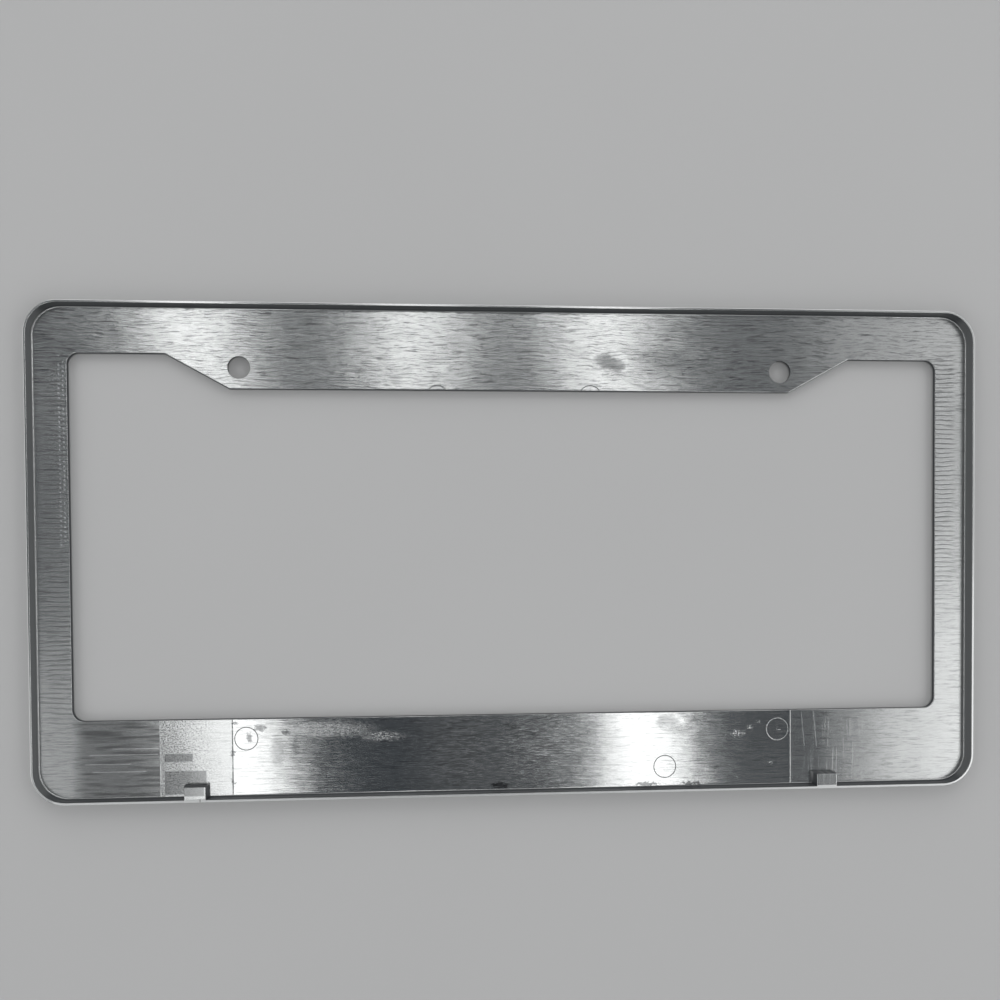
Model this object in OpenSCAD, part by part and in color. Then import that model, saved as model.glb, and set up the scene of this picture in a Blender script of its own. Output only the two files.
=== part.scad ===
// Frame for a car's number plate, cast in one piece and chrome plated.
// It lies on its front face with the back up. +X runs along the plate's length, +Y points to the
// plate's top edge and +Z out of the back. The origin is the middle of the front face.
// A flat bar runs round a window, and a raised rim round the bar takes the plate between its walls.

/* [Number plate] */
// Width of the number plate that the frame takes
plate_w = 304.8; // [280:0.1:400]
// Height of the number plate that the frame takes
plate_h = 152.4; // [110:0.1:220]
// Room at each end of the plate, at the foot of the rim
end_room = 0.6; // [0.2:0.1:3]
// Play of the plate between the top of the rim and the two lugs
plate_play = 0.2; // [0.1:0.1:2]

/* [Fixing holes] */
// Distance between the two fixing holes
hole_spacing = 177.8; // [140:0.1:200]
// Diameter of a fixing hole
hole_d = 7.3; // [5:0.1:9]
// Distance from the foot of the rim at the top down to the line of the holes
hole_drop = 18.4; // [14:0.1:24]
// Size of the bevel round the front mouth of a fixing hole
hole_bevel = 0.3; // [0.1:0.05:0.6]

/* [Bars] */
// Thickness of the flat bars
bar_t = 2.5; // [1.8:0.1:5]
// Height of the top bar above the upper corners of the window, from the foot of the rim
top_bar = 14.2; // [8:0.1:17]
// Height of the bottom bar, from the foot of the rim to the window
bottom_bar = 24.5; // [12:0.1:32]
// Width of a side bar, from the foot of the rim to the window
side_bar = 10.5; // [6:0.1:14]
// Metal left between a fixing hole and the edge of the tongue below it
hole_margin = 3.2; // [2:0.1:8]
// How far the straight edge of the tongue runs past the line of a fixing hole
tongue_past_hole = 3.1; // [0:0.1:8]
// Length of a sloping end of the tongue, measured along the bar
slope_run = 20.3; // [14:0.1:26]

/* [Rim] */
// Height of the rim above the back of the bars
rim_h = 3.5; // [2:0.1:7]
// Width of the flat top of the rim
rim_land = 0.9; // [0.7:0.05:2.5]
// Draft of the inner wall of the rim, in degrees
rim_draft = 4; // [1:0.5:8]
// Radius of the fillet at the foot of the rim
foot_r = 0.65; // [0.3:0.05:1]
// Draft of the outer wall, in degrees
side_draft = 2; // [0.5:0.5:4]

/* [Corners and edges] */
// Outer corner radius of the frame
corner_r = 10.6; // [8:0.1:25]
// Corner radius of the window
window_r = 3.6; // [1:0.1:6]
// Radius of the outer edge of the front face
front_r = 1.6; // [0.4:0.1:1.8]
// Radius of the window's edge on the front face
window_front_r = 0.8; // [0.2:0.1:1]
// Radius of the window's edge on the back face
window_back_r = 0.35; // [0.1:0.05:0.5]
// Radius of the edges on top of the rim and the lugs
top_edge_r = 0.25; // [0.1:0.05:0.3]

/* [Lugs] */
// Distance between the middles of the two lugs that the plate stands on
lug_spacing = 207.6; // [150:0.1:250]
// Width of a lug across its top
lug_w = 6.9; // [3:0.1:15]
// How far a lug stands in from the foot of the rim
lug_reach = 3.4; // [1.5:0.1:8]
// Draft of the sides of a lug, in degrees
lug_side_draft = 8; // [1:0.5:12]
// Draft of the face of a lug that the plate stands on, in degrees
lug_face_draft = 2; // [0.5:0.5:6]

/* [Casting marks] */
// Diameter of the rings that the ejector pins left on the back
pin_mark_d = 7.4; // [4:0.1:10]
// Width of the fine groove of a ring
pin_mark_groove = 0.3; // [0.2:0.05:0.5]
// Depth of the fine groove of a ring
pin_mark_depth = 0.12; // [0.05:0.01:0.3]
// Distance between the two rings that match the fixing holes
pin_mark_spacing = 176; // [140:0.1:200]
// Distance from the foot of the rim at the bottom up to those two rings
pin_mark_rise = 18; // [8:0.1:19]
// Distance between the two seams that the die's middle insert left across the bottom bar
seam_spacing = 184.8; // [150:0.1:200]
// Width of a seam
seam_w = 0.25; // [0.15:0.05:0.5]
// Height of a seam
seam_h = 0.1; // [0.05:0.01:0.2]
// Distance of the single ring on the bottom bar from the middle of the frame
lower_mark_x = 49.5; // [20:0.1:75]
// Distance of the ring that the tongue's edge cuts from the middle of the frame
tongue_mark_x = 24.9; // [10:0.1:60]

/* [Hidden] */
$fn = 96;

// Thickness of the whole frame, bars and rim together
frame_t = bar_t + rim_h;

// Room inside the rim, measured on the floor between the ends of the foot fillets
room_w = plate_w + 2 * end_room;
room_h = plate_h + plate_play + lug_reach;

// Where the inner wall meets the floor, and where its fillet ends, in from the frame's outer edge.
// The end is rounded up to a hundredth, so that the overall sizes are plain numbers.
wall_foot = rim_land + rim_h * tan(rim_draft);
foot_end = ceil(100 * (wall_foot + foot_r * tan((90 - rim_draft) / 2))) / 100;

frame_w = room_w + 2 * foot_end;
frame_h = room_h + 2 * foot_end;

// The swept edges and the flat bar lie over each other by this much
lap = 1;
edge_band = foot_end + 2 * lap;
window_band = max(window_front_r, window_back_r) + 2 * lap;

// Heights of the window's edges and of the line of the holes
window_low = -room_h / 2 + bottom_bar;
window_top = room_h / 2 - top_bar;
hole_y = room_h / 2 - hole_drop;
tongue_y = hole_y - hole_d / 2 - hole_margin;
tongue_depth = window_top - tongue_y;
window_x = room_w / 2 - side_bar;
tongue_x = hole_spacing / 2 + tongue_past_hole;

// A closed path is a list of corners [x, y, radius], listed counter-clockwise
function rectangle(x, low, high, r) = [[-x, low, r], [x, low, r], [x, high, r], [-x, high, r]];
outer_path = rectangle(frame_w / 2, -frame_h / 2, frame_h / 2, corner_r);
window_path = rectangle(window_x, window_low, window_top, window_r);

// Section of the frame's outer edge: distance in from the edge, height, radius
edge_section = [
    [frame_t * tan(side_draft), 0, front_r],
    [edge_band, 0, 0],
    [edge_band, bar_t, 0],
    [wall_foot, bar_t, foot_r],
    [rim_land, frame_t, top_edge_r],
    [0, frame_t, top_edge_r]
];

// Section of a bar at the window: distance in from the bar's edge, height, radius
function bar_section(width) = [
    [0, 0, window_front_r],
    [width, 0, 0],
    [width, bar_t, 0],
    [0, bar_t, window_back_r]
];

// Where the face of a lug meets the floor, in from the frame's outer edge
lug_foot = foot_end + lug_reach;

// Section of a lug across the rim: distance in from the frame's outer edge, height, radius
lug_side_section = [
    [rim_land / 2, bar_t / 2, 0],
    [lug_foot + bar_t / 2 * tan(lug_face_draft), bar_t / 2, 0],
    [lug_foot - rim_h * tan(lug_face_draft), frame_t, top_edge_r],
    [rim_land / 2, frame_t, 0]
];

// Section of a lug along the rim: distance from its middle, height, radius
lug_half_base = lug_w / 2 + (rim_h + bar_t / 2) * tan(lug_side_draft);
lug_front_section = [
    [-lug_half_base, bar_t / 2, 0],
    [lug_half_base, bar_t / 2, 0],
    [lug_w / 2, frame_t, top_edge_r],
    [-lug_w / 2, frame_t, top_edge_r]
];

// Middles of the ejector pin rings on the back of the frame
pin_mark_y = -room_h / 2 + pin_mark_rise;
pin_marks = [
    [-pin_mark_spacing / 2, pin_mark_y],
    [pin_mark_spacing / 2, pin_mark_y],
    [lower_mark_x, -room_h / 2 + bottom_bar / 4],
    [tongue_mark_x, tongue_y - pin_mark_d / 4]
];

function corner_before(path, i) = path[(i + len(path) - 1) % len(path)];
function corner_after(path, i) = path[(i + 1) % len(path)];
function flat(p) = [p.x, p.y];
function heading(a, b) = (flat(b) - flat(a)) / norm(flat(b) - flat(a));
function left(v) = [-v.y, v.x];
function heading_in(path, i) = heading(corner_before(path, i), path[i]);
function heading_out(path, i) = heading(path[i], corner_after(path, i));

// Angle of the turn at a corner, positive to the left
function turn(path, i) =
    let (a = heading_in(path, i), b = heading_out(path, i)) atan2(a.x * b.y - a.y * b.x, a * b);

// Where the arc of a corner starts, ends and has its centre
function tangent(path, i) = path[i][2] * tan(abs(turn(path, i)) / 2);
function arc_start(path, i) = flat(path[i]) - heading_in(path, i) * tangent(path, i);
function arc_end(path, i) = flat(path[i]) + heading_out(path, i) * tangent(path, i);
function arc_centre(path, i) =
    arc_start(path, i) + left(heading_in(path, i)) * path[i][2] * sign(turn(path, i));

// The same path moved outwards, with its corners still on the same centres
function grown(path, by) = [
    for (i = [0 : len(path) - 1])
        let (a = heading_in(path, i), b = heading_out(path, i))
        let (p = flat(path[i]) - by * (left(a) + left(b)) / (1 + a * b))
        [p.x, p.y, path[i][2] + by * sign(turn(path, i))]
];

// One corner's round piece, from the centre of its arc to the arc itself
module corner_pie(path, i) {
    centre = arc_centre(path, i);
    intersection() {
        translate(centre) circle(path[i][2]);
        polygon([centre, arc_start(path, i), flat(path[i]), arc_end(path, i)]);
    }
}

// Area inside a closed path, with round corners
module area(path) {
    corners = [for (i = [0 : len(path) - 1]) if (path[i][2] > 0) i];
    difference() {
        union() {
            polygon([for (i = [0 : len(path) - 1]) each (path[i][2] > 0
                ? [arc_start(path, i), arc_end(path, i)]
                : [flat(path[i])])]);
            for (i = corners) if (turn(path, i) > 0) corner_pie(path, i);
        }
        for (i = corners) if (turn(path, i) < 0) corner_pie(path, i);
    }
}

// Sweeps a section round a closed path. side 1 puts the section inside the path, -1 outside.
module sweep(path, section, side) {
    for (i = [0 : len(path) - 1]) {
        from = arc_end(path, i);
        to = arc_start(path, (i + 1) % len(path));
        way = to - from;
        translate(from) rotate(atan2(way.y, way.x)) rotate([90, 0, 90])
            linear_extrude(norm(way)) on_side(side) area(section);

        centre = arc_centre(path, i);
        first = (turn(path, i) > 0 ? arc_start(path, i) : arc_end(path, i)) - centre;
        translate(centre) rotate(atan2(first.y, first.x))
            rotate_extrude(angle = abs(turn(path, i)))
                translate([path[i][2], 0]) on_side(-side * sign(turn(path, i))) area(section);
    }
}

// Leaves a section as it is for side 1 and turns it over for side -1
module on_side(side) {
    if (side > 0) children();
    else mirror([1, 0]) children();
}

// Lug that carries the lower edge of the plate, with draft on its sides and its face
module lug() {
    intersection() {
        translate([0, -frame_h / 2, 0]) rotate([90, 0, 90])
            linear_extrude(2 * lug_half_base, center = true) area(lug_side_section);
        translate([0, -frame_h / 2 + lug_foot + lap, 0]) rotate([90, 0, 0])
            linear_extrude(lug_foot + lap) area(lug_front_section);
    }
}

// Slab whose rounded edge runs along +X through the origin, with its metal to the left
module half_slab(length, width) {
    rotate([90, 0, 90]) linear_extrude(length, center = true) area(bar_section(width));
}

// Slab with the rounded edge of the tongue's sloping right end
module slope() {
    translate([tongue_x, tongue_y, 0]) rotate(atan2(tongue_depth, slope_run))
        half_slab(2 * frame_w, frame_w);
}

// Tongue with sloping ends that hangs from the middle of the top bar and holds the fixing holes
module tongue() {
    intersection() {
        translate([0, tongue_y, 0]) half_slab(frame_w, tongue_depth + window_band);
        slope();
        mirror([1, 0, 0]) slope();
    }
}

// Flat bars round the window, up to the swept edges
module bars() {
    linear_extrude(bar_t) difference() {
        area(grown(outer_path, lap - edge_band));
        area(grown(window_path, window_band - lap));
    }
}

// Seam that the die's insert left across the bottom bar
module seam() {
    length = bottom_bar - window_back_r - foot_r;
    translate([-seam_w / 2, -room_h / 2 + foot_r / 2, bar_t - seam_h])
        cube([seam_w, length, 2 * seam_h]);
}

// Through hole for a fixing screw, with a bevel on the front
module fixing_hole() {
    translate([0, 0, -lap]) cylinder(d = hole_d, h = frame_t + 2 * lap);
    translate([0, 0, -lap])
        cylinder(d1 = hole_d + 2 * (hole_bevel + lap), d2 = hole_d, h = hole_bevel + lap);
}

// Fine round groove of an ejector pin
module pin_mark() {
    translate([0, 0, bar_t - pin_mark_depth]) difference() {
        cylinder(d = pin_mark_d + pin_mark_groove, h = lap);
        cylinder(d = pin_mark_d - pin_mark_groove, h = lap);
    }
}

module plate_frame() {
    color("silver") difference() {
        union() {
            bars();
            sweep(outer_path, edge_section, 1);
            sweep(window_path, bar_section(window_band), -1);
            tongue();
            for (side = [-1, 1]) {
                translate([side * lug_spacing / 2, 0, 0]) lug();
                translate([side * seam_spacing / 2, 0, 0]) seam();
            }
        }
        for (side = [-1, 1]) translate([side * hole_spacing / 2, hole_y, 0]) fixing_hole();
        for (mark = pin_marks) translate(mark) pin_mark();
    }
}

plate_frame();
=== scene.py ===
"""Finish and studio for a car's number plate frame, cast in one piece and chrome plated.

The frame lies on its front face, so the camera looks down on the back that the plate goes in from.
Sizes on the frame are in millimetres in its own directions: x along the plate, y towards its top edge
and z out of the back.
"""

import math

import bmesh
import bpy
from bpy.props import FloatProperty, FloatVectorProperty, PointerProperty
from bpy.types import Operator, Panel, PropertyGroup
from mathutils import Euler, Matrix, Vector


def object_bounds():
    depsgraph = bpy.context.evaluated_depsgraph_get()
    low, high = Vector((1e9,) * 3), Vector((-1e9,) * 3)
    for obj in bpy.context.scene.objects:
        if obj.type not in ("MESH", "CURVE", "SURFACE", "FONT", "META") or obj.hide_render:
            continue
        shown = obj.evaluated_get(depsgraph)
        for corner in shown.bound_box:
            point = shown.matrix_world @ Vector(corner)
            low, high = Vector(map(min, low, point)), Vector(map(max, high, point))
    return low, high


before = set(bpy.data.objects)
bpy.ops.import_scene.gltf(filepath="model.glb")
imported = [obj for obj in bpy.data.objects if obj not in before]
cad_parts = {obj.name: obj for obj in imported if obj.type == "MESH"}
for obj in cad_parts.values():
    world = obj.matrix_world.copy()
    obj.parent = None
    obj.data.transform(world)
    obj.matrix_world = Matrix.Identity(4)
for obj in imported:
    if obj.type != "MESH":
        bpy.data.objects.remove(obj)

bl_info = {
    "name": "Number Plate Frame",
    "version": (1, 0, 0),
    "blender": (4, 5, 0),
    "location": "View3D > Sidebar > Plate Frame",
    "description": "Plated casting finish, table and soft boxes for a number plate frame",
    "category": "Object",
}

CAD_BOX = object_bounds()
PLATE_FRAME = "plate_frame"
MM = 0.001

# Half sizes of the frame and the height of its rim, the height of its bars, and lines on its back
HALF_WIDTH, HALF_HEIGHT, RIM_TOP = (side / MM for side in CAD_BOX[1])
BAR_BACK = 2.5
WALL_X = HALF_WIDTH - 0.75
WALL_Y = HALF_HEIGHT - 0.75
SEAM_X = 92.4
SEAM_HALF = 0.22

# Heights over which a part fades in or out
FLOOR_START_Z = (BAR_BACK - 0.3, BAR_BACK - 0.2)
FLOOR_END_Z = (BAR_BACK + 0.2, BAR_BACK + 0.45)
GROOVE_Z = (BAR_BACK - 0.10, BAR_BACK - 0.04)
RIM_TOP_Z = (RIM_TOP - 0.3, RIM_TOP - 0.1)
RECESS_Z = (0.6, 1.6)

# How far a surface faces out of the back, over which it counts: 1 is level, 0 upright and -1 the front
LEVEL = (0.90, 0.97)
NEARLY_LEVEL = (0.8, 0.95)
GROOVE_BOTTOM = (0.5, 0.9)
STEEP = (0.82, 0.985)
BACK_SIDE = (-0.4, -0.2)
FRONT_SIDE = (-0.2, 0.2)

# Stretches over which a part of the back fades in or out
TOP_BAR_Y = (35.0, 60.0)
BOTTOM_RIM_Y = (-78.7, -78.5)
INSERT_TOP_Y = (-50.0, -49.0)
SEAM_TOP_Y = (-54.0, -53.6)
RIGHT_BAR_X = (140.5, 143.5)
RIGHT_BAR_Y = (62.0, 74.0)
LEFT_BAR_X = (-143.5, -141.5)
LEFT_BAR_Y = (50.0, 66.0)
RIGHT_TICKS_X = (147.0, 150.5)
RIGHT_TICKS_Y = (-35.0, 15.0)
LEFT_TICKS_X = (-152.0, -148.0)
LEFT_TICKS_Y = (-75.0, -40.0)
LEFT_PLATE_START_X = (-144.0, -138.0)
LEFT_PLATE_END_X = (-115.5, -115.3)
LEFT_PLATE_TOP_Y = (-53.0, -51.0)
SPECKLES_X = (-112.0, -92.0)
SCRATCHES_X = (48.0, 62.0)
RIGHT_RINGS_X = (60.0, 70.0)
RING_GLINT_X = (84.6, 87.0)
SIDE_WALL_X = (149.0, 151.5)
RIM_FOOT_Y = (-74.5, -74.0)
EDGE_GRIME_Y = (-64.0, -54.0)
ROUGH_END_X = (105.0, 148.0)

# Marks on the back: the middle and half sizes of an ellipse, then a depth or a shade where there is one
DENTS = (((30.6, 62.4), (7.0, 5.0), 0.06), ((28.6, 67.0), (3.6, 5.0), 0.02),
         ((51.5, -57.3), (5.0, 3.4), 0.022))
DENT_SHADES = (((29.6, 62.8), (4.6, 3.0)), ((34.0, 61.4), (3.8, 2.6)), ((50.8, -56.4), (4.8, 2.6)))
SMUDGES = (((-87.2, -59.6), (1.2, 1.9)), ((-83.6, -56.6), (2.4, 1.6)), ((-75.4, -58.2), (1.6, 1.0)))
SEAM_BLOTS = (((-92.4, -64.6), (0.7, 1.5)), ((-92.5, -74.0), (1.0, 1.1)),
              ((-91.6, -55.0), (1.2, 0.6)))
# Soft dark patches, each with how dark it is
DARK_PATCHES = (((-78.1, -64.4), (3.0, 6.2), 0.34), ((-72.2, -62.6), (1.6, 3.8), 0.3),
          ((-74.0, -68.0), (6.0, 8.0), 0.14))
FOOT_CHIPS = (((-5.7, -77.0), (3.6, 1.1)), ((43.5, -77.6), (5.0, 0.8)), ((58.4, -77.7), (4.4, 0.7)))
# Spots painted bright as glints, on nicked places and one in the middle of a ring
NICK_AND_GLINT_SPOTS = (((74.6, -61.2), (3.0, 1.8)), ((78.6, -59.0), (1.4, 0.8)), ((81.6, -57.3), (0.8, 0.7)),
                ((85.8, -71.3), (0.9, 1.2)), ((88.3, -60.0), (0.6, 0.8)))
HAZES = (((-60.0, -57.4), (17.0, 3.4)), ((-44.0, -60.0), (9.0, 2.2)), ((56.0, -59.5), (7.0, 2.2)))

# Fold beside the deepest dent, which leans to the left, rises quickly to its ridge and falls slowly
FOLD_Y = 62.4
FOLD_HALF = 6.9
FOLD_RISE = (26.0, 35.5)
FOLD_FALL = (36.0, 60.0)
FOLD_LEAN = 0.6

# Marks and zones on the back: the low and high corners of a rectangle
GLINT_ROWS = (((-145.4, 2.0), (-144.9, 64.0)), ((-144.1, 4.0), (-143.6, 62.0)))
MACHINED_STEPS = (((-113.8, -67.1), (-105.0, -64.5)), ((-113.8, -77.6), (-100.8, -70.1)))
CUTTER_ARCS = (((96.2, -66.0), (96.4, -54.5)), ((100.4, -66.0), (100.6, -54.0)))
RIM_SEAM = ((-102.35, -80.0), (-102.05, -74.9))
SPECKLE_ZONE = ((-115.3, -79.0), (-92.5, -52.0))
BRUSH_ZONE = ((96.0, -77.0), (117.0, -57.0))
POLISHED_STRIP = ((92.0, -79.0), (104.0, -52.0))
GLINTING_MIDDLE = ((-30.0, -79.0), (18.0, -52.0))
LESS_GLINTING = ((-12.0, -79.0), (-4.0, -52.0))

# Lines that the cutter left in the die: from and to along x, then y
CUTTER_LINES = (((-136.6, -119.8), -70.0), ((-137.5, -116.0), -64.5), ((-130.3, -116.0), -62.6),
                ((-139.0, -124.6), -67.5))
CUTTER_LINE_HALF = 0.12

# Lean of the cutter's two long arcs, from the height where they start
CUTTER_ARC_Y = -54.6
CUTTER_ARC_LEAN = 0.09

# Ejector ring that the window's edge all but cuts away
CUT_RING = (-25.4, 50.8)
CUT_RING_OUTER = (3.8, 3.8)
CUT_RING_INNER = (3.4, 3.4)

# Relief that is too fine for the solid, in millimetres
WAVE_HEIGHT = 0.10
SWELL_HEIGHT = 0.014
FOLD_HEIGHT = 0.2
TICK_DEPTH = 0.02
STEP_HEIGHT = 0.004
SEAM_HEIGHT = 0.016
BRUSH_HEIGHT = 0.002
PLATE_HEIGHT = 0.003
PIT_DEPTH = 0.004
CUT_RING_DEPTH = 0.03

# Share of a soft spot over which it fades out, and the colour painted where the metal glints or catches a
# highlight
SOFT = 0.98
GLINT_TONE = (0.95, 0.96, 0.96, 1.0)

# Soft boxes that hang level: name, middle and size in metres, brightness and turn in degrees
OVERHEAD_BOXES = (
    ("left_upper", (-0.378, 0.38), (0.10, 0.50), 2.4, 9.0),
    ("left_lower", (-0.327, -0.24), (0.148, 0.60), 1.9, 9.0),
    ("right_upper", (0.243, 0.38), (0.12, 0.50), 2.0, 6.0),
    ("right_lower", (0.303, -0.24), (0.13, 0.60), 2.0, 6.0),
    ("upper_patch", (-0.05, 0.38), (0.13, 0.36), 1.8, 0.0),
    ("right_box", (0.95, -0.30), (0.50, 0.6), 1.14, 0.0),
    ("right_top_box", (0.76, 0.33), (0.34, 0.6), 0.32, 0.0),
    ("left_box", (-0.68, -0.36), (0.30, 0.45), 0.45, 0.0),
    ("middle_box", (0.07, -0.27), (0.20, 0.5), 0.055, 0.0),
)

# Soft boxes round the table that face the frame: name, place in metres and brightness
FILLS = (
    ("front_fill", (0.0, -2.2, 1.3), 0.5),
    ("back_fill", (0.0, 2.2, 1.3), 1.2),
    ("left_fill", (-2.2, 0.0, 1.3), 0.88),
    ("right_fill", (2.2, 0.0, 1.3), 0.88),
)
FILL_SIZE = (3.6, 2.2)

# Table, lens and room. The room's tone changes between two heights on a sphere of radius 1
TABLE_HALF = 3.0
TABLE_MOTTLE = 0.03
TABLE_ROUGHNESS = 0.62
SENSOR_WIDTH = 36.0
FOCAL_LENGTH = 36.0
ZENITH = (0.045, 0.052, 0.060, 1.0)
HORIZON = (0.42, 0.425, 0.43, 1.0)
HORIZON_TO_ZENITH = (0.755, 0.975)


class Link:
    """A number or vector that changes over the surface, with arithmetic that adds the nodes for it."""

    def __init__(self, finish, socket):
        self.finish = finish
        self.socket = socket

    def math(self, operation, *values):
        return self.finish.add("ShaderNodeMath", {"operation": operation}, dict(enumerate(values)))

    def __add__(self, other):
        return self.math("ADD", self, other)

    def __radd__(self, other):
        return self.math("ADD", other, self)

    def __sub__(self, other):
        return self.math("SUBTRACT", self, other)

    def __rsub__(self, other):
        return self.math("SUBTRACT", other, self)

    def __mul__(self, other):
        return self.math("MULTIPLY", self, other)

    def __rmul__(self, other):
        return self.math("MULTIPLY", other, self)

    def __truediv__(self, other):
        return self.math("DIVIDE", self, other)

    def __abs__(self):
        return self.math("ABSOLUTE", self)

    def __pow__(self, other):
        return self.math("POWER", self, other)


class Finish:
    """The nodes of one material, or of the world."""

    def __init__(self, name, owner=None):
        self.owner = owner or bpy.data.materials.new(name)
        self.owner.use_nodes = True
        self.tree = self.owner.node_tree
        self.tree.nodes.clear()

    @staticmethod
    def find(sockets, key):
        """The socket with that place, identifier or name."""
        if isinstance(key, int):
            return sockets[key]
        for socket in sockets:
            if socket.identifier == key:
                return socket
        return sockets[key]

    def add(self, kind, settings=None, inputs=None, output=0):
        """Adds a node: first its settings, then its sockets' values and links. Returns one output."""
        node = self.tree.nodes.new(kind)
        for name, value in (settings or {}).items():
            setattr(node, name, value)
        for key, value in (inputs or {}).items():
            socket = self.find(node.inputs, key)
            if isinstance(value, Link):
                self.tree.links.new(value.socket, socket)
            else:
                socket.default_value = value
        return Link(self, self.find(node.outputs, output)) if node.outputs else None

    def point(self, x, y, z):
        return self.add("ShaderNodeCombineXYZ", None, {0: x, 1: y, 2: z})

    def parts(self, vector):
        node = self.tree.nodes.new("ShaderNodeSeparateXYZ")
        self.tree.links.new(vector.socket, node.inputs[0])
        return [Link(self, socket) for socket in node.outputs]

    def rise(self, value, low, high):
        """0 below low, 1 above high and a smooth rise between them."""
        return self.add("ShaderNodeMapRange", {"interpolation_type": "SMOOTHSTEP"},
                        {"Value": value, "From Min": low, "From Max": high})

    def fall(self, value, low, high):
        return self.add("ShaderNodeMapRange", {"interpolation_type": "SMOOTHSTEP"},
                        {"Value": value, "From Min": low, "From Max": high, "To Min": 1.0, "To Max": 0.0})

    def noise(self, vector, scale=1.0, detail=2.0, roughness=0.5):
        """Noise about 0, roughly from -0.5 to 0.5."""
        value = self.add("ShaderNodeTexNoise", {"noise_dimensions": "3D"},
                         {"Vector": vector, "Scale": scale, "Detail": detail, "Roughness": roughness}, "Fac")
        return value - 0.5

    def patch(self, x, y, low, high, soft):
        """1 inside a rectangle from low to high and 0 outside it, with edges that fade that far each way."""
        return (self.rise(x, low[0] - soft, low[0] + soft) * self.fall(x, high[0] - soft, high[0] + soft)
                * self.rise(y, low[1] - soft, low[1] + soft) * self.fall(y, high[1] - soft, high[1] + soft))

    def spot(self, x, y, centre, size, soft):
        """1 in the middle of an ellipse of those half sizes and 0 outside it, with that share of it soft."""
        away = ((x - centre[0]) / size[0]) ** 2.0 + ((y - centre[1]) / size[1]) ** 2.0
        return self.fall(away, 1.0 - soft, 1.0)

    def mix(self, factor, low, high):
        return self.add("ShaderNodeMix", {"data_type": "RGBA"},
                        {"Factor_Float": factor, "A_Color": low, "B_Color": high}, "Result_Color")

    def sine(self, angle):
        return self.add("ShaderNodeMath", {"operation": "SINE"}, {0: angle})

    def least(self, first, second):
        return self.add("ShaderNodeMath", {"operation": "MINIMUM"}, {0: first, 1: second})

    def bump(self, height):
        """Normal of a surface with this height in millimetres."""
        return self.add("ShaderNodeBump", None, {"Height": height * MM, "Distance": 1.0, "Strength": 1.0})


class PlatedCastingSettings(PropertyGroup):
    """Colours and marks of the plated casting."""

    plating: FloatVectorProperty(
        name="Plating", description="Colour of the bright plating", subtype="COLOR", size=3,
        default=(0.62, 0.63, 0.625), min=0.0, max=1.0)
    # Colour painted on the rim's inner walls as their shade, which the darker marks also mix towards
    recess_shade: FloatVectorProperty(
        name="Recess plating", description="Colour of the thin, duller plating on the rim's inner wall",
        subtype="COLOR", size=3, default=(0.042, 0.045, 0.048), min=0.0, max=1.0)
    roughness: FloatProperty(
        name="Roughness", description="Roughness of the plating on the flat back", default=0.17,
        min=0.0, max=1.0, subtype="FACTOR")
    streak_pitch: FloatProperty(
        name="Streak pitch", description="Distance between the fine streaks in millimetres", default=1.0,
        min=0.2, max=5.0)
    streak_depth: FloatProperty(
        name="Streak depth", description="Depth of the fine streaks in millimetres", default=0.04,
        min=0.0, max=0.1)
    tick_pitch: FloatProperty(
        name="Tick pitch", description="Distance between the cutter marks on the side bars in millimetres",
        default=1.55, min=0.5, max=5.0)
    grain_depth: FloatProperty(
        name="Grain depth", description="Depth of the casting's fine grain in millimetres", default=0.004,
        min=0.0, max=0.05)


class StudioSettings(PropertyGroup):
    """Table, camera and lamps."""

    table: FloatVectorProperty(
        name="Table", description="Colour of the table top", subtype="COLOR", size=3,
        default=(0.43, 0.43, 0.43), min=0.0, max=1.0)
    camera_place: FloatVectorProperty(
        name="Camera", description="Where the camera stands", subtype="TRANSLATION", size=3, unit="LENGTH",
        default=(-0.02949, -0.00803, 0.33041))
    camera_turn: FloatVectorProperty(
        name="Camera turn", description="How the camera is turned", subtype="EULER", size=3,
        default=(math.radians(-1.3213), math.radians(-4.2216), math.radians(-0.3870)))
    camera_shift: FloatProperty(
        name="Camera shift", description="Vertical shift of the lens", default=0.1, min=-1.0, max=1.0)
    lamp_height: FloatProperty(
        name="Lamp height", description="Height of the overhead soft boxes", default=1.2, min=0.5, max=5.0,
        subtype="DISTANCE", unit="LENGTH")


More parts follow.
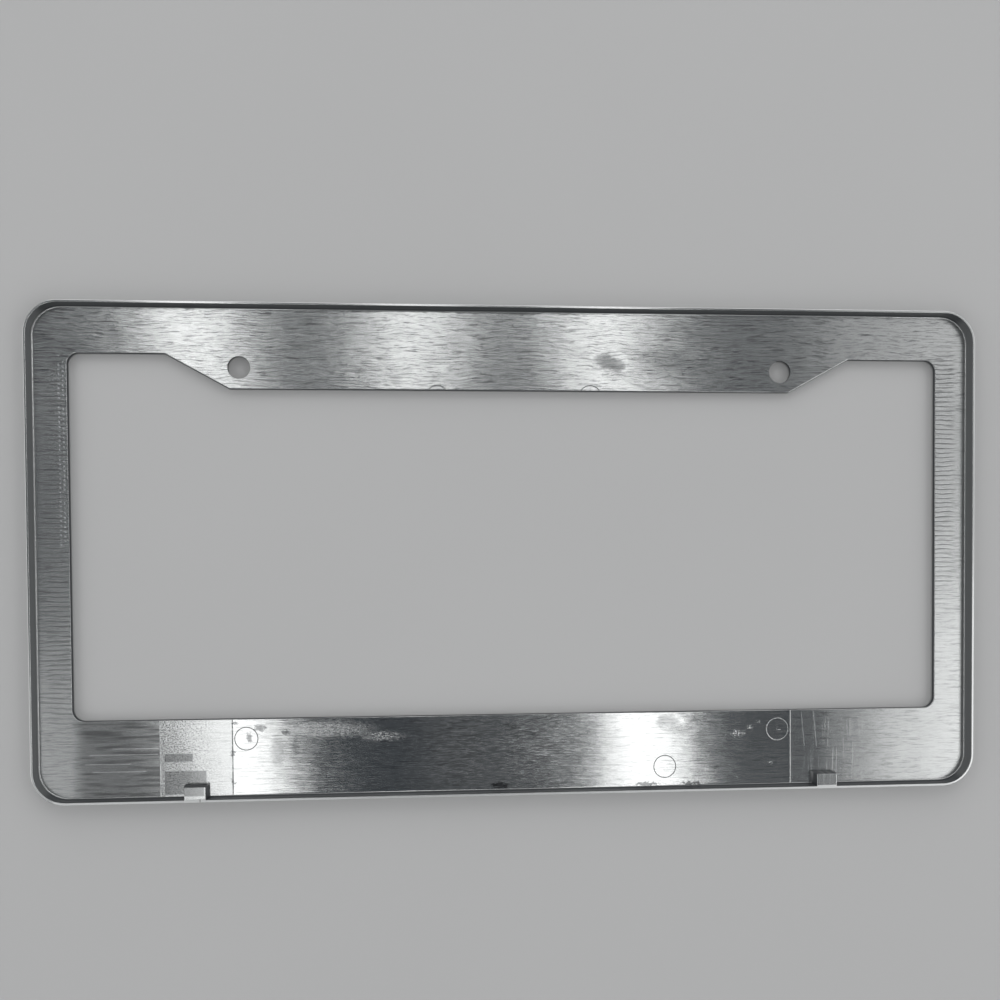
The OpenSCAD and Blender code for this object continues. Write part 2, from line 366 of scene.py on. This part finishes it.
class PlatedCasting(Finish):
    """Bright plating over a die casting, to which each group of marks adds its relief, tone and roughness."""

    def __init__(self, settings):
        super().__init__("plated_casting")
        self.settings = settings
        coordinates = self.add("ShaderNodeTexCoord", None, None, "Object")
        place = self.add("ShaderNodeVectorMath", {"operation": "SCALE"}, {0: coordinates, "Scale": 1.0 / MM})
        self.x, self.y, self.z = self.parts(place)
        self.facing = self.parts(self.add("ShaderNodeNewGeometry", None, None, "True Normal"))[2]
        self.dark_tone = (*settings.recess_shade, 1.0)
        self.colour = (*settings.plating, 1.0)
        self.roughness = settings.roughness
        self.height = 0.0
        # How much of the dark tone mixes in, for dirt and for painted shade
        self.dirt_and_shade = 0.0
        # How much of the painted glints and highlights mixes into the colour
        self.bright = 0.0
        self.find_places()
        self.plate()
        self.wave()
        self.dent()
        self.streak()
        self.grain()
        self.scratch()
        self.mark_side_bars()
        self.add_seams()
        self.groove_rings()
        self.mark_left_end()
        self.mark_right_end()
        self.smudge()
        self.nick_and_glint()
        self.shade()

    def field(self, x, y, z, detail=2.0, roughness=0.5):
        """Noise at a stretched place. A z that is a plain number gives a mark its own slice of the noise."""
        return self.noise(self.point(x, y, z), 1.0, detail, roughness)

    def blots(self, marks, soft=SOFT):
        """Spots with ragged edges."""
        return sum(self.spot(self.ragged_x, self.ragged_y, centre, size, soft) for centre, size in marks)

    def darken(self, amount):
        """Mixes that much of the dark tone into the colour: painted shade where it stands for shade, a mark's
        own tone elsewhere.
        """
        self.colour = self.mix(amount, self.colour, self.dark_tone)

    def find_places(self):
        """Masks of the frame's parts, 1 on the part and 0 off it, and the places that ragged spots read."""
        x, y, z, facing = self.x, self.y, self.z, self.facing
        upright = self.fall(facing, *STEEP) * self.rise(facing, *BACK_SIDE)
        inside = self.fall(abs(x), WALL_X, WALL_X + 0.3) * self.fall(abs(y), WALL_Y, WALL_Y + 0.3)
        self.above_front = self.rise(z, *FLOOR_START_Z)
        self.on_floor = self.above_front * self.fall(z, *FLOOR_END_Z) * self.rise(facing, *LEVEL)
        self.bottom_rim = (self.rise(z, *RIM_TOP_Z) * self.rise(facing, *NEARLY_LEVEL)
                           * self.fall(y, *BOTTOM_RIM_Y))
        self.recess = upright * inside * self.rise(z, *RECESS_Z)
        self.low = self.fall(y, *TOP_BAR_Y)
        self.insert = self.fall(abs(x), SEAM_X - 0.1, SEAM_X + 0.1) * self.fall(y, *INSERT_TOP_Y)
        self.right_bar = self.rise(x, *RIGHT_BAR_X) * self.fall(y, *RIGHT_BAR_Y)
        self.left_bar = self.fall(x, *LEFT_BAR_X) * self.fall(y, *LEFT_BAR_Y)
        self.speckle_zone = self.patch(x, y, *SPECKLE_ZONE, 0.1)
        self.ragged_x = x + self.field(x * 0.8, y * 0.8, 13.0, 3.0, 0.65) * 4.0
        self.ragged_y = y + self.field(x * 0.8, y * 0.8, 23.0, 3.0, 0.65) * 3.0

    def plate(self):
        """Polished on the front, rougher to the right and on top of the bottom rim, with shade painted dark
        on the rim's inner walls and a highlight painted on top of the bottom rim.
        """
        front = self.fall(self.facing, *FRONT_SIDE)
        ends = (self.rise(self.x, *ROUGH_END_X) * 0.07 + self.left_bar * 0.03
                - self.patch(self.x, self.y, *POLISHED_STRIP, 3.0) * 0.04)
        # Shade painted dark on the rim's inner walls, a little lighter on the side walls
        self.darken(self.recess * (1.0 - self.rise(abs(self.x), *SIDE_WALL_X) * 0.1))
        # Highlight painted on top of the bottom rim
        self.bright += self.bottom_rim * 0.15
        self.roughness += (ends * self.on_floor + self.recess * 0.25 + self.bottom_rim * 0.25
                           - self.insert * 0.06 - front * 0.09)

    def wave(self):
        """Slow waves of the cast surface."""
        x, y = self.x, self.y
        self.height += self.field(x * 0.035, y * 0.05, 0.0) * WAVE_HEIGHT
        self.height += self.field(x * 0.11 + 7.0, y * 0.16, 0.0) * SWELL_HEIGHT

    def dent(self):
        """Shallow dents with a darker middle, and the fold beside the deepest one."""
        x, y = self.x, self.y
        self.hollow = sum(self.spot(x, y, centre, size, SOFT) * depth for centre, size, depth in DENTS)
        across = x + (y - FOLD_Y) * FOLD_LEAN
        fold = (self.rise(across, *FOLD_RISE) * self.fall(across, *FOLD_FALL)
                * self.rise(y, FOLD_Y - FOLD_HALF, FOLD_Y) * self.fall(y, FOLD_Y, FOLD_Y + FOLD_HALF))
        self.height += fold * FOLD_HEIGHT - self.hollow
        # The dents' darker middle is painted shade
        self.dirt_and_shade += self.least(self.blots(DENT_SHADES), 0.8) * 0.4

    def streak(self):
        """Fine streaks along the bars in long flat waves, which the dents push aside."""
        x, y, low, on_floor = self.x, self.y, self.low, self.on_floor
        wander = self.field(x * 0.07, y * 0.14, 3.0) * (2.6 - low * 1.8) + self.hollow * 12.0
        line = (y + wander) * (2.0 / self.settings.streak_pitch)
        streaks = self.field(x * 0.13, line, 0.0)
        hairs = self.field(x * 0.35, line * 2.0, 11.0, 2.0, 0.6)
        dashes = self.rise(self.field(x * 0.22, (y + wander * 0.5) * 2.6, 91.4), 0.06, 0.16)
        grooves = self.rise(streaks + hairs * 0.7, 0.05, 0.20)
        streaked = on_floor * (1.0 - low * (0.45 + self.speckle_zone * 0.35))
        self.combing = self.field(x * 0.05, line * 0.3, 8.0, 1.0)
        self.height += streaked * (streaks + hairs * 0.2 + self.combing * 1.4) * self.settings.streak_depth
        # The streaks' grooves are darkened partly as tarnish and partly as painted shade, and the short
        # dashes are painted dark reflections
        self.darken(self.least(streaked * grooves * 0.5 + on_floor * dashes * (0.24 - low * 0.14), 1.0))

    def grain(self):
        """Fine grain and pits of the casting, and the speckles beside the left seam."""
        x, y, z = self.x, self.y, self.z
        grain = self.field(x * 1.2, y * 1.2, z * 1.2, 3.0, 0.7)
        pits = self.rise(self.field(x * 0.9 + 31.0, y * 0.9, 0.0, 1.0), 0.24, 0.30) * self.on_floor
        self.speckle = self.field(x * 2.0, y * 3.0, 17.0, 2.0, 0.6)
        self.speckled = self.rise(self.speckle, -0.02, 0.16)
        self.height += (grain * (1.0 - self.insert * 0.4 + self.bottom_rim * 3.0)
                        + self.speckle * self.speckle_zone * 1.5) * self.settings.grain_depth
        self.height -= pits * PIT_DEPTH
        self.darken(self.speckled * self.speckle_zone * self.fall(x, *SPECKLES_X) * self.on_floor * 0.85)
        self.roughness += grain * 0.05

    def scratch(self):
        """Straight scratches along the bottom bar, painted bright as glints, most of all in its middle, where
        the colour between them is darker.
        """
        x, y, on_floor = self.x, self.y, self.on_floor
        scratches = self.rise(self.field(x * 0.4, y * 4.4, 61.4, 4.0, 0.75), -0.12, 0.28)
        scratched = scratches * self.insert * (1.0 - self.rise(x, *SCRATCHES_X) * 0.75)
        glinting = self.patch(x, y, *GLINTING_MIDDLE, 12.0) * (1.0 - self.patch(x, y, *LESS_GLINTING, 4.0) * 0.35)
        # Glints painted bright on the scratches, and the colour between them darker in the middle
        self.bright += scratched * on_floor * (0.28 + glinting * 0.4)
        self.dirt_and_shade += glinting * (1.0 - scratches) * on_floor * 0.5
        self.roughness += (scratched + glinting) * on_floor * 0.06

    def mark_side_bars(self):
        """Regular cutter marks across the side bars, and rows of dots on the left one, painted bright as
        glints.
        """
        x, y = self.x, self.y
        wander = self.field(x * 0.15, y * 0.1, 5.0, 1.0) * 1.3
        ticks = self.rise(self.sine((y + wander) * (2.0 * math.pi / self.settings.tick_pitch)), 0.25, 0.95)
        uneven = self.rise(self.field(x * 0.2, y * 0.5, 21.0), -0.32, 0.02)
        on_right = self.right_bar * self.fall(x, *RIGHT_TICKS_X) * self.rise(y, *RIGHT_TICKS_Y)
        on_left = self.left_bar * self.rise(x, *LEFT_TICKS_X) * self.rise(y, *LEFT_TICKS_Y)
        cut = ticks * (on_right + on_left * 0.5) * self.on_floor * uneven
        spacing = self.rise(self.sine((y + x * 0.4 + wander * 0.3) * 4.2), 0.2, 0.7)
        gaps = self.rise(self.field(x * 0.2, y * 0.3, 2.0, 1.0), -0.2, 0.0)
        self.height -= cut * TICK_DEPTH
        self.darken(cut * 0.62)
        # Rows of dots painted bright as glints
        self.bright += sum(self.patch(x, y, *row, 0.15) for row in GLINT_ROWS) * spacing * gaps

    def add_seams(self):
        """Raised seams of the die's insert, the left one darkened in places, and a dark one on the rim."""
        x, y = self.x, self.y
        away = (abs(x) - SEAM_X) / SEAM_HALF
        seams = self.fall(away * away, 0.0, 1.0) * self.fall(y, *SEAM_TOP_Y) * self.on_floor
        dots = self.rise(self.field(x * 0.2, y * 1.6, 71.0, 1.0), -0.16, 0.04)
        rim_seam = self.patch(x, y, *RIM_SEAM, 0.08) * self.bottom_rim
        self.height += seams * SEAM_HEIGHT
        self.darken(self.least(seams * self.fall(x, 0.0, 1.0) * dots + rim_seam, 1.0) * 0.8)

    def groove_rings(self):
        """Ejector rings: grooves painted dark as shade on the left and painted bright, in broken highlights,
        on the right.
        """
        x, y = self.x, self.y
        grooves = self.above_front * self.fall(self.z, *GROOVE_Z) * self.rise(self.facing, *GROOVE_BOTTOM)
        right = self.rise(x, *RIGHT_RINGS_X)
        glinting = self.rise(self.speckle, -0.3, 0.1) + self.fall(x, *RING_GLINT_X)
        cut_ring = (self.spot(x, y, CUT_RING, CUT_RING_OUTER, 0.10)
                    - self.spot(x, y, CUT_RING, CUT_RING_INNER, 0.12)) * self.on_floor
        self.height -= cut_ring * CUT_RING_DEPTH
        # Shade painted in the left grooves and in the ring that the window cuts, highlights painted in the
        # right grooves
        self.darken(grooves * (1.0 - right) * 0.8 + cut_ring * 0.45)
        self.bright += grooves * right * glinting * 0.5
        self.roughness += grooves * 0.15

    def mark_left_end(self):
        """Machined steps, cutter lines painted bright as glints, and the combed plate of the die around the
        left lug, painted darker as a dark reflection.
        """
        x, y = self.x, self.y
        steps = sum(self.patch(x, y, *step, 0.25) for step in MACHINED_STEPS)
        lines = sum(self.patch(x, y, (left, at - CUTTER_LINE_HALF), (right, at + CUTTER_LINE_HALF), 0.15)
                    for (left, right), at in CUTTER_LINES)
        plate = (self.rise(x, *LEFT_PLATE_START_X) * self.fall(x, *LEFT_PLATE_END_X)
                 * self.fall(y, *LEFT_PLATE_TOP_Y))
        self.height += steps * STEP_HEIGHT + plate * PLATE_HEIGHT
        # The plate is painted darker as a dark reflection
        self.darken(steps * 0.5 + plate * self.on_floor * (0.4 + self.rise(self.combing, -0.05, 0.15) * 0.3))
        # The cutter lines are painted bright as glints
        self.bright += lines * 0.5

    def mark_right_end(self):
        """Upright brush marks and two long arcs of the cutter around the right lug, both painted bright as
        highlights.
        """
        x, y = self.x, self.y
        brush = (self.rise(self.field(x * 1.6, y * 0.06, 9.0, 2.0, 0.6), 0.0, 0.25)
                 * self.patch(x, y, *BRUSH_ZONE, 2.5))
        along_arc = x + (y - CUTTER_ARC_Y) * CUTTER_ARC_LEAN
        arcs = sum(self.patch(along_arc, y, *arc, 0.14) for arc in CUTTER_ARCS)
        self.height += brush * BRUSH_HEIGHT
        # Brush marks and arcs painted bright as highlights
        self.bright += brush * 0.2 + arcs * 0.4
        self.roughness += brush * 0.05 + arcs * 0.1

    def smudge(self):
        """Smudges, soft dark patches, grime along the edge, chips at the foot of the rim and patches of haze.
        """
        x, y, on_floor = self.x, self.y, self.on_floor
        dark_patches = sum(self.blots([(centre, size)]) * shade for centre, size, shade in DARK_PATCHES)
        grime = self.rise(self.field(x * 0.10, y * 0.22, 51.0, 4.0, 0.7), 0.04, 0.22)
        chips = self.blots(FOOT_CHIPS, 0.7) * self.fall(y, *RIM_FOOT_Y)
        flecks = self.rise(self.field(x * 0.9, y * 3.0, 61.0, 3.0, 0.7), -0.25, 0.25)
        self.dirt_and_shade += (self.blots(SMUDGES + SEAM_BLOTS) * 0.7 + dark_patches
                        + grime * self.insert * self.rise(y, *EDGE_GRIME_Y) * 0.3) * on_floor + chips * 0.75
        self.roughness += self.blots(HAZES) * flecks * on_floor * 0.2

    def nick_and_glint(self):
        """Nicks and specks on the bottom bar, painted bright as glints."""
        x, y = self.x, self.y
        nicks_and_glints = self.blots(NICK_AND_GLINT_SPOTS) * self.on_floor * self.speckled
        specks = self.rise(self.field(x * 1.3, y * 1.3, 77.0, 1.0), 0.27, 0.32) * self.insert * self.on_floor
        # Nicks and specks painted bright as glints
        self.bright += nicks_and_glints + specks * 0.7
        self.roughness += nicks_and_glints * 0.25

    def shade(self):
        """Mixes in the dark tone for dirt and painted shade, then the painted glints and highlights, and
        joins it all in one shader.
        """
        self.darken(self.least(self.dirt_and_shade, 1.0))
        self.colour = self.mix(self.least(self.bright, 1.0), self.colour, GLINT_TONE)
        # The rim's inner walls also lose most of their metal, as part of their painted shade
        shader = self.add("ShaderNodeBsdfPrincipled", None,
                          {"Base Color": self.colour, "Metallic": 1.0 - self.recess * 0.85,
                           "Roughness": self.roughness, "Specular IOR Level": 0.1,
                           "Normal": self.bump(self.height)})
        self.add("ShaderNodeOutputMaterial", None, {"Surface": shader})


def table_top(settings):
    """Smooth painted table with a faint mottle."""
    f = Finish("table_top")
    place = f.add("ShaderNodeTexCoord", None, None, "Object")
    mottle = f.noise(place, 6.0, 3.0)
    darker, lighter = ((*(part * share for part in settings.table), 1.0)
                       for share in (1.0 - TABLE_MOTTLE, 1.0 + TABLE_MOTTLE))
    tone = f.mix(mottle + 0.5, darker, lighter)
    shader = f.add("ShaderNodeBsdfPrincipled", None, {"Base Color": tone, "Roughness": TABLE_ROUGHNESS})
    f.add("ShaderNodeOutputMaterial", None, {"Surface": shader})
    return f.owner


def soft_box(name, place, size, brightness, turn=None):
    """Rectangular lamp that hangs level with a turn in degrees, or faces the frame where none is given."""
    lamp = bpy.data.lights.new(name, "AREA")
    lamp.shape = "RECTANGLE"
    lamp.size, lamp.size_y = size
    lamp.energy = brightness * math.pi * size[0] * size[1]
    holder = bpy.data.objects.new(name, lamp)
    holder.location = place
    holder.rotation_euler = ((-Vector(place)).to_track_quat("-Z", "Y").to_euler() if turn is None
                             else Euler((0.0, 0.0, math.radians(turn))))
    bpy.context.scene.collection.objects.link(holder)


class PLATEFRAME_OT_finish(Operator):
    """Give the cast frame its bright plating"""

    bl_idname = "plateframe.finish"
    bl_label = "Plated Casting"

    def execute(self, context):
        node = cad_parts.get(PLATE_FRAME)
        if node is None:
            raise RuntimeError("the frame's model isn't loaded")
        material = PlatedCasting(context.scene.plated_casting).owner
        node.data.materials.clear()
        node.data.materials.append(material)
        return {"FINISHED"}


class PLATEFRAME_OT_studio(Operator):
    """Set the table, the camera and the soft boxes"""

    bl_idname = "plateframe.studio"
    bl_label = "Studio"

    def execute(self, context):
        settings = context.scene.plate_studio
        self.lay_table(context, settings)
        self.place_camera(context, settings)
        self.hang_lamps(settings)
        self.fill_world(context)
        context.scene.view_settings.view_transform = "Standard"
        return {"FINISHED"}

    def lay_table(self, context, settings):
        shape = bmesh.new()
        bmesh.ops.create_grid(shape, x_segments=1, y_segments=1, size=TABLE_HALF)
        mesh = bpy.data.meshes.new("table")
        shape.to_mesh(mesh)
        shape.free()
        table = bpy.data.objects.new("table", mesh)
        table.data.materials.append(table_top(settings))
        context.scene.collection.objects.link(table)

    def place_camera(self, context, settings):
        lens = bpy.data.cameras.new("camera")
        lens.sensor_width = SENSOR_WIDTH
        lens.lens = FOCAL_LENGTH
        lens.shift_y = settings.camera_shift
        camera = bpy.data.objects.new("camera", lens)
        camera.matrix_world = (Matrix.Translation(settings.camera_place)
                               @ Euler(settings.camera_turn, "XYZ").to_matrix().to_4x4())
        context.scene.collection.objects.link(camera)
        context.scene.camera = camera

    def hang_lamps(self, settings):
        for name, middle, size, brightness, turn in OVERHEAD_BOXES:
            soft_box(name, (*middle, settings.lamp_height), size, brightness, turn)
        for name, place, brightness in FILLS:
            soft_box(name, place, FILL_SIZE, brightness)

    def fill_world(self, context):
        room = Finish("room", bpy.data.worlds.new("room"))
        context.scene.world = room.owner
        way = room.add("ShaderNodeTexCoord", None, None, "Generated")
        height = room.parts(way)[2]
        tone = room.mix(room.fall(height, *HORIZON_TO_ZENITH), ZENITH, HORIZON)
        light = room.add("ShaderNodeBackground", None, {"Color": tone, "Strength": 1.0})
        room.add("ShaderNodeOutputWorld", None, {"Surface": light})


class PLATEFRAME_PT_sidebar(Panel):
    """Plate frame tools"""

    bl_label = "Plate Frame"
    bl_space_type = "VIEW_3D"
    bl_region_type = "UI"
    bl_category = "Plate Frame"

    def draw(self, context):
        for settings, operator in ((context.scene.plated_casting, PLATEFRAME_OT_finish),
                                   (context.scene.plate_studio, PLATEFRAME_OT_studio)):
            box = self.layout.box()
            for name in settings.__annotations__:
                box.prop(settings, name)
            box.operator(operator.bl_idname)


CLASSES = (PlatedCastingSettings, StudioSettings, PLATEFRAME_OT_finish, PLATEFRAME_OT_studio,
           PLATEFRAME_PT_sidebar)


def register():
    for cls in CLASSES:
        bpy.utils.register_class(cls)
    bpy.types.Scene.plated_casting = PointerProperty(type=PlatedCastingSettings)
    bpy.types.Scene.plate_studio = PointerProperty(type=StudioSettings)


def unregister():
    del bpy.types.Scene.plate_studio
    del bpy.types.Scene.plated_casting
    for cls in reversed(CLASSES):
        bpy.utils.unregister_class(cls)


def main():
    register()
    bpy.ops.plateframe.finish()
    bpy.ops.plateframe.studio()


if __name__ == "__main__":
    main()
